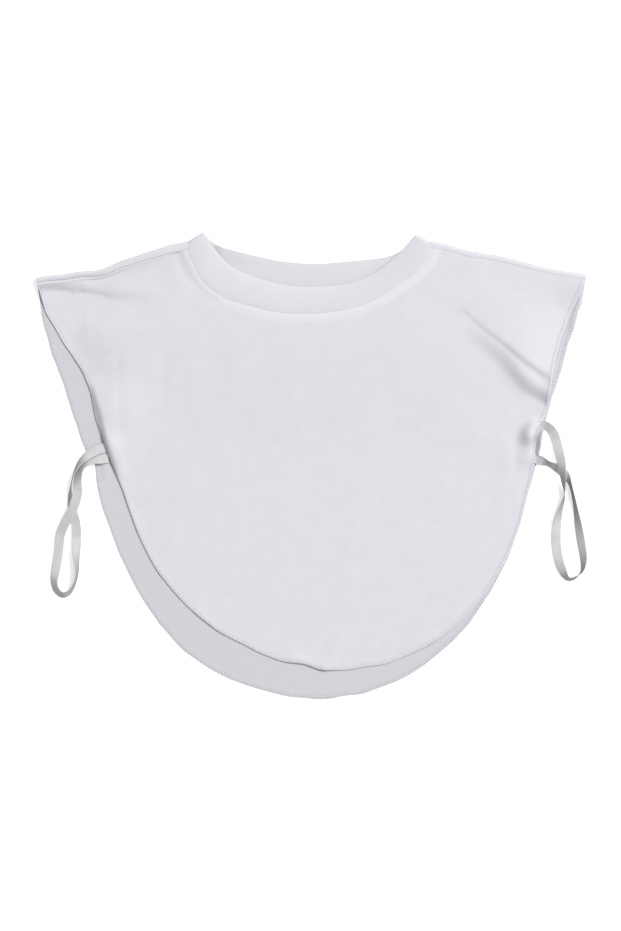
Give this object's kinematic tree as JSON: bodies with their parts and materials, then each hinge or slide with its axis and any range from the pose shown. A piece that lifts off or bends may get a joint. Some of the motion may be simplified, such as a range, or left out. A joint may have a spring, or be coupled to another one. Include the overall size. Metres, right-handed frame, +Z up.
{
  "type": "detachable crew-neck dickey",
  "caption": "Sleeveless jersey half-top with a crew neckband and an elastic loop on each side, laid flat with its front uppermost.",
  "frame": {"origin": "middle of the laid garment's outline, on the surface that it lies on, without the loops", "axes": "+X to the right of the garment as it lies, +Y towards its neck, +Z up from the surface"},
  "size_m": [0.4185, 0.3542, 0.0114],
  "materials": {
    "front_jersey": "fine white single jersey",
    "back_jersey": "fine white single jersey, inner face",
    "rib_knit": "fine white rib knit, double",
    "elastic_tape": "flat white knitted elastic"
  },
  "bodies": {
    "root": {"front_panel": "front_jersey", "back_panel": "back_jersey", "neckband": "rib_knit", "elastic_loop_left": "elastic_tape", "elastic_loop_right": "elastic_tape"}
  },
  "joints": []
}
